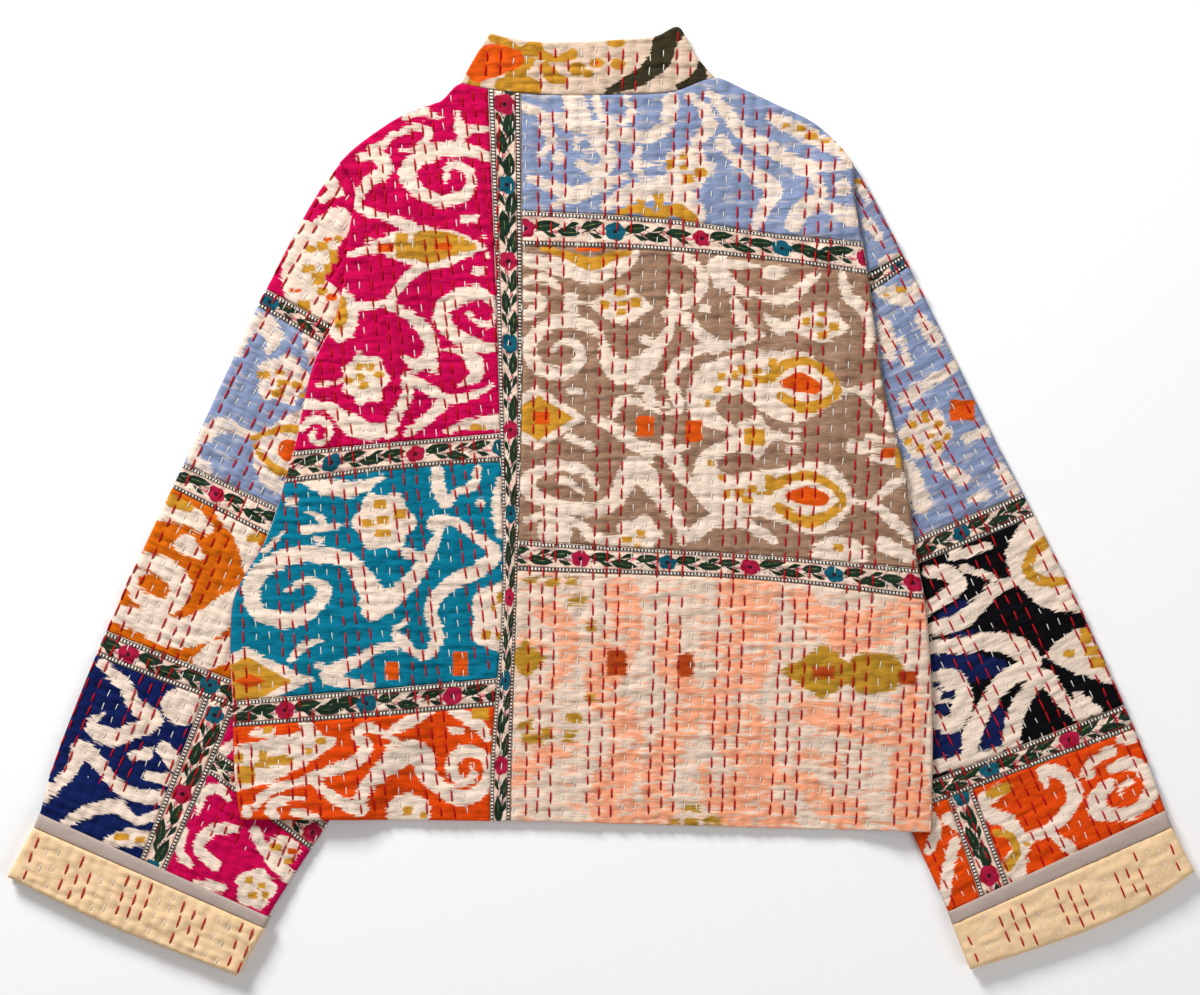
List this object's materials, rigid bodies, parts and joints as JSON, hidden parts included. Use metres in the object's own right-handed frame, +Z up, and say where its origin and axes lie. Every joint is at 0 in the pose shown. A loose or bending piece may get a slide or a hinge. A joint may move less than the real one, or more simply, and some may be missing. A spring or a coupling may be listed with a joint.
{
  "type": "quilted patchwork jacket",
  "caption": "Boxy open-front jacket quilted in running stitch from ikat patches and printed borders, with a stand collar and turned-back cuffs, laid flat back up",
  "frame": {"origin": "bottom centre of the bounding box, on the surface the jacket lies on", "axes": "+X to the wearer's right side, seen from the back; +Y from hem to collar; +Z up, out of the jacket's back"},
  "size_m": [0.9274, 0.741, 0.0114],
  "materials": {
    "cloth_magenta": "magenta ikat print cotton, quilted",
    "cloth_turquoise": "turquoise ikat print cotton, quilted",
    "cloth_orange": "orange-red ikat print cotton, quilted",
    "cloth_light_blue": "light blue ikat print cotton, quilted",
    "cloth_taupe": "taupe ikat print cotton, quilted",
    "cloth_peach": "peach ikat print on cream cotton, quilted",
    "cloth_amber": "amber ikat print cotton, quilted",
    "cloth_navy": "navy ikat print cotton, quilted",
    "cloth_black": "black ikat print cotton, quilted",
    "cloth_border": "cream cotton printed with a leaf and flower border",
    "cloth_collar": "cream cotton with ochre ikat print",
    "cloth_lining": "cream-yellow cotton lining, quilted",
    "cloth_binding": "mauve-grey cotton binding"
  },
  "bodies": {
    "root": {"back_left_top": "cloth_magenta", "back_left_border_upper": "cloth_border", "back_left_middle": "cloth_turquoise", "back_left_border_lower": "cloth_border", "back_left_bottom": "cloth_orange", "back_border_long": "cloth_border", "back_right_top": "cloth_light_blue", "back_right_border_upper": "cloth_border", "back_right_middle": "cloth_taupe", "back_right_border_lower": "cloth_border", "back_right_bottom": "cloth_peach", "front_left": "cloth_magenta", "front_right": "cloth_taupe", "collar_back": "cloth_collar", "collar_front_left": "cloth_collar", "collar_front_right": "cloth_collar", "sleeve_left_cap": "cloth_magenta", "sleeve_left_border_1": "cloth_border", "sleeve_left_upper": "cloth_light_blue", "sleeve_left_border_2": "cloth_border", "sleeve_left_middle": "cloth_amber", "sleeve_left_border_3": "cloth_border", "sleeve_left_lower": "cloth_navy", "sleeve_left_border_long": "cloth_border", "sleeve_left_inner_upper": "cloth_magenta", "sleeve_left_border_short": "cloth_border", "sleeve_left_inner_lower": "cloth_magenta", "sleeve_left_under": "cloth_light_blue", "sleeve_right_cap": "cloth_light_blue", "sleeve_right_border_1": "cloth_border", "sleeve_right_upper": "cloth_light_blue", "sleeve_right_border_2": "cloth_border", "sleeve_right_middle": "cloth_black", "sleeve_right_border_3": "cloth_border", "sleeve_right_inner": "cloth_orange", "sleeve_right_border_long": "cloth_border", "sleeve_right_lower": "cloth_orange", "sleeve_right_under": "cloth_light_blue", "cuff_left": "cloth_lining", "cuff_binding_left": "cloth_binding", "cuff_left_under": "cloth_lining", "cuff_binding_left_under": "cloth_binding", "cuff_right": "cloth_lining", "cuff_binding_right": "cloth_binding", "cuff_right_under": "cloth_lining", "cuff_binding_right_under": "cloth_binding"}
  },
  "joints": []
}
